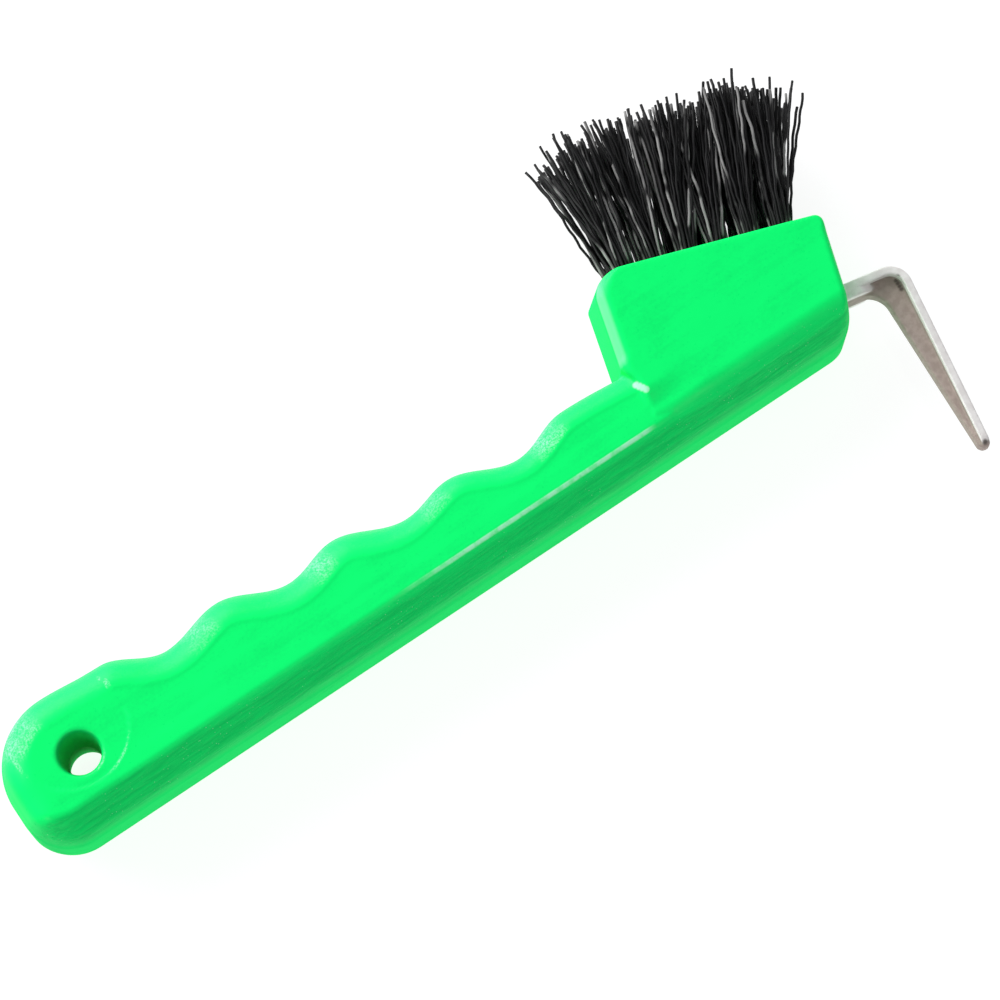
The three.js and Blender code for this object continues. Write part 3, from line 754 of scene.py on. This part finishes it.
class Shader:
    """A material's node tree, with short calls for the nodes it needs."""

    def __init__(self, name):
        self.material = bpy.data.materials.new(name)
        self.material.use_nodes = True
        self.tree = self.material.node_tree
        self.surface = self.tree.nodes["Principled BSDF"]
        coordinates = self.add("ShaderNodeTexCoord")
        inputs = {0: coordinates.outputs["Object"], 1: ORIGIN}
        moved = self.add("ShaderNodeVectorMath", inputs, operation="SUBTRACT")
        inputs = {0: moved.outputs[0], "Scale": 1 / MM}
        scaled = self.add("ShaderNodeVectorMath", inputs, operation="SCALE")
        self.place = scaled.outputs[0]  # millimetres in the tool's own frame
        split = self.add("ShaderNodeSeparateXYZ", {0: self.place})
        self.x, self.y = split.outputs[0], split.outputs[1]
        self.z = self.math("ABSOLUTE", split.outputs[2])
        facing = self.add("ShaderNodeSeparateXYZ", {0: coordinates.outputs["Normal"]})
        self.facing_x, self.facing_y = facing.outputs[0], facing.outputs[1]
        self.facing_z = self.math("ABSOLUTE", facing.outputs[2])

    def add(self, kind, inputs=None, **settings):
        node = self.tree.nodes.new(kind)
        for key, value in settings.items():
            setattr(node, key, value)
        for socket, value in (inputs or {}).items():
            self.feed(node.inputs[socket], value)
        return node

    def feed(self, socket, value):
        if isinstance(value, bpy.types.NodeSocket):
            self.tree.links.new(value, socket)
        else:
            socket.default_value = value

    def math(self, operation, *values):
        inputs = dict(enumerate(values))
        return self.add("ShaderNodeMath", inputs, operation=operation).outputs[0]

    def product(self, *shares):
        """All the shares multiplied."""
        result = shares[0]
        for share in shares[1:]:
            result = self.math("MULTIPLY", result, share)
        return result

    def band(self, value, low, high, to_low=0.0, to_high=1.0):
        """Runs smoothly from to_low to to_high as the value goes from low to high."""
        inputs = {"Value": value, "From Min": low, "From Max": high, "To Min": to_low, "To Max": to_high}
        return self.add("ShaderNodeMapRange", inputs, interpolation_type="SMOOTHSTEP").outputs[0]

    def noise(self, scale, detail=2.0, stretch=(1, 1, 1), roughness=0.5):
        """Noise between 0 and 1, with scale cells to the millimetre."""
        vector = self.add("ShaderNodeVectorMath", {0: self.place, 1: stretch}, operation="MULTIPLY")
        inputs = {"Vector": vector.outputs[0], "Scale": scale, "Detail": detail, "Roughness": roughness}
        return self.add("ShaderNodeTexNoise", inputs).outputs["Fac"]

    def specks(self, scale, size):
        """Small round spots: 1 in the middle of a spot, 0 outside it."""
        cells = self.add("ShaderNodeTexVoronoi", {"Vector": self.place, "Scale": scale})
        return self.band(cells.outputs["Distance"], 0, size, 1, 0)

    def mix(self, share, a, b):
        node = self.add("ShaderNodeMix", {"Factor": share}, data_type="RGBA")
        self.feed(node.inputs[6], a)
        self.feed(node.inputs[7], b)
        return node.outputs[2]

    def away_from(self, centre):
        """Millimetres from a point in the side view."""
        flat = self.add("ShaderNodeVectorMath", {0: self.place, 1: (1, 1, 0)}, operation="MULTIPLY")
        inputs = {0: flat.outputs[0], 1: (*centre, 0)}
        return self.add("ShaderNodeVectorMath", inputs, operation="DISTANCE").outputs["Value"]

    def nearest(self, centres, radius, core):
        """1 within the core of any of the points in the side view, fading to 0 at the radius."""
        share = 0.0
        for centre in centres:
            share = self.math("MAXIMUM", share, self.band(self.away_from(centre), radius, core))
        return share

    def bump(self, height, distance, normal=None):
        inputs = {"Height": height, "Distance": distance * MM, "Strength": 1.0}
        if normal is not None:
            inputs["Normal"] = normal
        return self.add("ShaderNodeBump", inputs).outputs["Normal"]

    def finish(self, **sockets):
        for name, value in sockets.items():
            self.feed(self.surface.inputs[name.replace("_", " ")], value)
        return self.material


DEEP_GREEN = (0.0012, 0.88, 0.158, 1)
BRIGHT_GREEN = (0.0016, 0.98, 0.176, 1)
# the bevels' greens are darker than the sides' as painted shade; the bevel's fine drawn lines run
# between the two
DEEP_SHADED_BEVEL_GREEN = (0.001, 0.75, 0.14, 1)
LIGHT_SHADED_BEVEL_GREEN = (0.0012, 0.90, 0.165, 1)
# a painted lighter band along the top of the bevel
LIT_BEVEL_TOP_GREEN = (0.002, 1, 0.185, 1)
SHADED_GREEN = (0.001, 0.60, 0.12, 1)
# the colour of painted highlights and glints
HIGHLIGHT_GREEN = (0.42, 1, 0.62, 1)


def plastic_body(s, bevel, drawn, grain):
    """Green with faint streaks along the tool, darker on the bevels as painted shade and finely lined
    there, with a painted lighter band along the top of the bevel.
    """
    clouds = s.noise(0.09, 3)
    streaks = s.noise(0.5, 3, (0.05, 1, 1))
    blend = s.math("MULTIPLY_ADD", streaks, 0.45, s.math("MULTIPLY", clouds, 0.55))
    blend = s.math("MULTIPLY_ADD", grain, 0.25, blend)
    sides = s.mix(s.band(blend, 0.40, 0.68), DEEP_GREEN, BRIGHT_GREEN)
    bevels = s.mix(drawn, DEEP_SHADED_BEVEL_GREEN, LIGHT_SHADED_BEVEL_GREEN)
    # painted light: a lighter band along the top of the bevel
    lit_bevel_top = s.product(s.band(s.z, 8.7, 9.5), s.band(s.x, 28, 42), bevel)
    return s.mix(lit_bevel_top, s.mix(bevel, sides, bevels), LIT_BEVEL_TOP_GREEN)


def bevel_glint_specks(s, bevel):
    """Painted glints: little pale specks in groups along the bevels."""
    groups = s.band(s.noise(0.12, 2), 0.42, 0.58)
    return s.product(s.specks(1.25, 0.17), bevel, groups, 0.7)


def painted_finger_highlights(s, outside_hole):
    """Painted highlights in frosted patches on the slopes of the finger ridges that face the handle's
    end.
    """
    slope = s.math("DIVIDE", s.facing_x, s.math("MAXIMUM", s.facing_y, 0.02))
    slopes = s.product(s.band(slope, -0.12, -0.42), s.band(slope, -1.8, -1.0))
    on_grip = s.product(s.band(s.facing_y, 0.06, 0.22), outside_hole, s.band(s.x, 129, 127))
    grains = s.band(s.noise(2.6, 5, roughness=0.75), 0.42, 0.62)
    patches = s.band(s.noise(0.35, 2), 0.3, 0.6, 0.25, 0.65)
    return s.product(slopes, on_grip, grains, patches)


def painted_edge_highlight(s):
    """A painted highlight line along the top edge of the grip's bevel, on the half next to the head."""
    across = s.product(s.band(s.facing_y, -0.05, -0.15), s.band(s.facing_y, -0.5, -0.35))
    upper = s.product(s.band(s.facing_z, 0.7, 0.85), s.band(s.y, 8, 6.5))
    along = s.product(s.band(s.x, 72, 90), s.band(s.x, 129, 126))
    return s.product(across, upper, along, s.band(s.noise(0.5, 3), 0.3, 0.6, 0.35, 0.95))


def head_back_shade_and_highlight(s):
    """Masks for painted shade along the groove on the back of the head, and for a painted highlight on
    the rounding beside it.
    """
    above_grip = s.band(s.y, GROOVE_Y[0] - 1.5, GROOVE_Y[0])
    back = s.product(s.band(s.facing_x, -0.3, -0.6), s.band(s.x, 128, 130), above_grip)
    from_groove = s.math("ABSOLUTE", s.math("SUBTRACT", s.z, GROOVE_Z))
    groove = s.product(s.band(from_groove, 0.6, 0.2), back)
    rounding = s.product(s.band(s.z, 8.8, 9.2, 0, 0.3), back)
    return groove, rounding


def green_plastic():
    s = Shader("green_polypropylene")
    grain = s.noise(1.6, 2)
    drawn = s.band(s.noise(1.7, 4, (0.1, 1, 1), 0.6), 0.3, 0.7)
    rim = HOLE_RIM_START_RADIUS
    outside_hole = s.band(s.away_from(HOLE_CENTRE), rim, rim + 0.5)
    finger_side = s.product(s.band(s.facing_y, 0.10, 0.45), outside_hole)
    bevel = s.product(s.band(s.facing_y, -0.3, -0.6), s.band(s.facing_z, 0.25, 0.6))
    # painted shade in the head's groove and a painted highlight on its back rounding
    groove, rounding = head_back_shade_and_highlight(s)

    colour = plastic_body(s, bevel, drawn, grain)
    # painted light: glints on the bevels, highlight patches on the finger ridges, a highlight line on
    # the bevel's top edge, shade on faces that look back along the handle, shade in the head's groove, a
    # highlight on the head's back rounding and highlight spots on its shoulder
    paints = [
        (bevel_glint_specks(s, bevel), HIGHLIGHT_GREEN),
        (painted_finger_highlights(s, outside_hole), HIGHLIGHT_GREEN),
        (painted_edge_highlight(s), HIGHLIGHT_GREEN),
        (s.band(s.facing_x, -0.5, -0.85, 0, 0.42), SHADED_GREEN),
        (groove, SHADED_GREEN),
        (rounding, HIGHLIGHT_GREEN),
        (s.nearest(SHOULDER_HIGHLIGHT_SPOTS, 0.75, 0.35), HIGHLIGHT_GREEN),
    ]
    for share, paint in paints:
        colour = s.mix(share, colour, paint)
    colour = s.mix(outside_hole, SHADED_GREEN, colour)

    roughness = s.math("MULTIPLY_ADD", grain, 0.08, s.math("MULTIPLY_ADD", finger_side, 0.04, 0.25))
    standing = s.band(s.facing_z, 0.5, 0.15, 0, 0.62)
    in_hole = s.band(outside_hole, 0, 1, 0.1, 0)
    roughness = s.math("ADD", s.math("ADD", roughness, standing), in_hole)
    waves = s.bump(s.noise(0.16, 2), 0.10)
    lines = s.bump(s.product(drawn, bevel), 0.05, waves)
    frost = s.product(s.noise(3.0, 3, roughness=0.65), s.band(finger_side, 0, 1, 0.08, 1))
    return s.finish(
        Base_Color=colour, Roughness=roughness, Normal=s.bump(frost, 0.07, lines), IOR=1.46,
        Specular_IOR_Level=0.16,
    )


BRIGHT_PLATE = (0.95, 0.92, 0.90, 1)
DULL_PLATE = (0.84, 0.80, 0.78, 1)
PALE_CAST = (0.44, 0.355, 0.315, 1)
DARK_CAST = (0.36, 0.285, 0.25, 1)
# painted shade in the crease where the web meets the flange
CREASE_SHADE_BROWN = (0.2, 0.165, 0.13, 1)
# painted shade with some staining in the bend, and a painted dark reflection on the tip
SHADE_AND_STAIN_BROWN = (0.07, 0.05, 0.04, 1)
PIT_GREY = (0.3, 0.28, 0.25, 1)
BRISTLE_BLACK = (0.0035, 0.0035, 0.004, 1)
BRISTLE_GREY = (0.014, 0.0135, 0.014, 1)
BRISTLE_GLINT = (0.28, 0.275, 0.27, 1)
WIRE_DARK = (0.55, 0.56, 0.58, 1)
WIRE_BRIGHT = (0.75, 0.76, 0.78, 1)
FLOOR_COOL = (0.20, 0.203, 0.206, 1)
FLOOR_PLAIN = (0.22, 0.22, 0.22, 1)
SKY = (0.95, 0.97, 1, 1)
SKY_STRENGTH = 0.4


def plated_steel():
    """Bright plate on the flange and a duller cast skin on the web's sides."""
    s = Shader("plated_cast_steel")
    inner = s.product(s.band(s.facing_x, 0.7, 0.4), s.band(s.facing_y, 0.75, 0.45))
    recess = s.product(s.band(s.z, 1.7, 2.4, 1, 0), inner)
    cloud = s.noise(0.5, 3)
    grain = s.noise(4.5, 3, roughness=0.6)
    plate = s.mix(s.band(cloud, 0.35, 0.7), DULL_PLATE, BRIGHT_PLATE)
    cast = s.mix(s.band(s.noise(0.9, 4), 0.35, 0.7), DARK_CAST, PALE_CAST)
    colour = s.mix(recess, plate, cast)
    # painted shade along the crease where the web meets the flange
    crease_shade = s.product(recess, s.math("SUBTRACT", 1.0, recess), 2.2)
    # dark spots: painted shade with some staining in the bend, and a painted dark reflection on the tip
    shade_and_stain = s.nearest([HOOK_CORNER + np.array(spot) for spot in HOOK_SHADE_AND_STAIN_SPOTS], 0.7, 0.15)
    pits = s.product(s.specks(1.3, 0.16), s.band(s.noise(0.4, 1), 0.55, 0.68))
    paints = [
        (s.product(crease_shade, s.band(cloud, 0.35, 0.6, 0.3, 1)), CREASE_SHADE_BROWN),
        (s.product(shade_and_stain, s.band(s.facing_z, 0.2, 0.6, 0, 0.85)), SHADE_AND_STAIN_BROWN),
        (s.product(pits, 0.5), PIT_GREY),
    ]
    for share, paint in paints:
        colour = s.mix(share, colour, paint)
    roughness = s.math("MULTIPLY_ADD", grain, 0.15, s.math("MULTIPLY_ADD", recess, 0.18, 0.34))
    normal = s.bump(s.product(pits, -1.0), 0.05, s.bump(grain, 0.03))
    metal = s.band(recess, 0, 1, 0.18, 0.1)
    return s.finish(Base_Color=colour, Roughness=roughness, Metallic=metal, Normal=normal)


def black_bristle():
    s = Shader("black_filament")
    each = s.add("ShaderNodeNewGeometry").outputs["Random Per Island"]
    along = s.noise(0.35, 3)
    shade = s.mix(s.band(each, 0, 0.9), BRISTLE_BLACK, BRISTLE_GREY)
    glint = s.product(s.band(each, 0.93, 0.95), s.band(s.noise(0.16, 2), 0.4, 0.55))
    colour = s.mix(glint, shade, BRISTLE_GLINT)
    roughness = s.band(along, 0.3, 0.7, 0.42, 0.64)
    normal = s.bump(s.noise(5, 2), 0.012)
    return s.finish(
        Base_Color=colour, Roughness=roughness, Normal=normal, IOR=1.5, Specular_IOR_Level=0.22
    )


def bright_wire():
    s = Shader("flat_wire")
    drawn = s.noise(2, 2, (1, 1, 0.1))
    colour = s.mix(drawn, WIRE_DARK, WIRE_BRIGHT)
    roughness = s.band(drawn, 0.3, 0.7, 0.25, 0.45)
    return s.finish(Base_Color=colour, Roughness=roughness, Metallic=1.0, Normal=s.bump(drawn, 0.01))


def pale_floor():
    s = Shader("pale_floor")
    shade = s.mix(s.noise(0.01, 3), FLOOR_COOL, FLOOR_PLAIN)
    roughness = s.band(s.noise(0.05, 2), 0, 1, 0.6, 0.8)
    glow = (1, 1, 1, 1)
    return s.finish(
        Base_Color=shade, Roughness=roughness, IOR=1.3, Emission_Color=glow, Emission_Strength=0.88
    )


# ---------- stage ----------


def floor():
    reach = 3.0
    corners = [(-reach, -reach, 0), (reach, -reach, 0), (reach, reach, 0), (-reach, reach, 0)]
    mesh = bpy.data.meshes.new("floor")
    mesh.from_pydata(corners, [], [(0, 1, 2, 3)])
    mesh.materials.append(pale_floor())
    plane = bpy.data.objects.new("floor", mesh)
    bpy.context.scene.collection.objects.link(plane)


CAMERA_AZIMUTH = math.radians(-34.27)
CAMERA_ELEVATION = math.radians(75.21)
CAMERA_DISTANCE = 613.1
CAMERA_TARGET = (100.18, 11.61, 0)
CAMERA_LENS = 125.6


def in_row(point):
    return ORIGIN + Vector(point) * MM


def aimed(name, data, direction, distance, target):
    """An object that looks at the target from the given direction, in millimetres."""
    holder = bpy.data.objects.new(name, data)
    holder.location = in_row(target) + Vector(direction).normalized() * distance * MM
    holder.rotation_euler = Vector(direction).to_track_quat("Z", "Y").to_euler()
    bpy.context.scene.collection.objects.link(holder)
    return holder


def camera():
    a, e = CAMERA_AZIMUTH, CAMERA_ELEVATION
    back = (math.sin(a) * math.cos(e), -math.cos(a) * math.cos(e), math.sin(e))
    data = bpy.data.cameras.new("camera")
    data.lens = CAMERA_LENS
    data.clip_start, data.clip_end = 0.01, 20
    bpy.context.scene.camera = aimed("camera", data, back, CAMERA_DISTANCE, CAMERA_TARGET)


def soft_light(name, direction, distance, size, power):
    data = bpy.data.lights.new(name, "AREA")
    data.shape = "RECTANGLE"
    data.size, data.size_y = size[0] * MM, size[1] * MM
    data.energy = power
    aimed(name, data, direction, distance, CAMERA_TARGET)


def studio():
    scene = bpy.context.scene
    scene.view_settings.view_transform = "Standard"
    world = bpy.data.worlds.new("studio")
    world.use_nodes = True
    background = world.node_tree.nodes["Background"]
    background.inputs["Color"].default_value = SKY
    background.inputs["Strength"].default_value = SKY_STRENGTH
    scene.world = world
    soft_light("key", (-0.3, 0.84, 0.44), 1600, (1800, 1300), 41)
    soft_light("left", (-0.84, -0.23, 0.48), 600, (30, 60), 0.2)
    soft_light("edge", (0.14, -0.49, 0.85), 700, (20, 120), 0.25)


# ---------- the tool ----------


def build():
    steel, bristle, wire = plated_steel(), black_bristle(), bright_wire()
    add_skin(
        "handle_moulding", handle_field, (-0.4, -0.6, -11.5), (176, 35.5, 11.5), (0.7, 0.36, 0.36),
        green_plastic(), "handle_plastic", "handle",
    )
    add_skin(
        "steel_hook", hook_field, (146.5, -30.8, -4.2), (185, 15.5, 4.2), (0.27, 0.27, 0.27),
        steel, "plated_steel", "pick_hook",
    )
    rng = np.random.default_rng(SEED)
    for row in range(TUFT_ROWS):
        for column in range(TUFT_COLUMNS):
            label = f"{row + 1}_{column + 1}"
            points, faces = tuft(row, column, rng)
            add_piece(f"filaments_{label}", points, faces, bristle, "bristle", f"bristle_tuft_{label}")
            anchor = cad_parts[f"tuft_anchor_{label}"]
            anchor.data.materials.clear()
            anchor.data.materials.append(wire)


build()
floor()
camera()
studio()
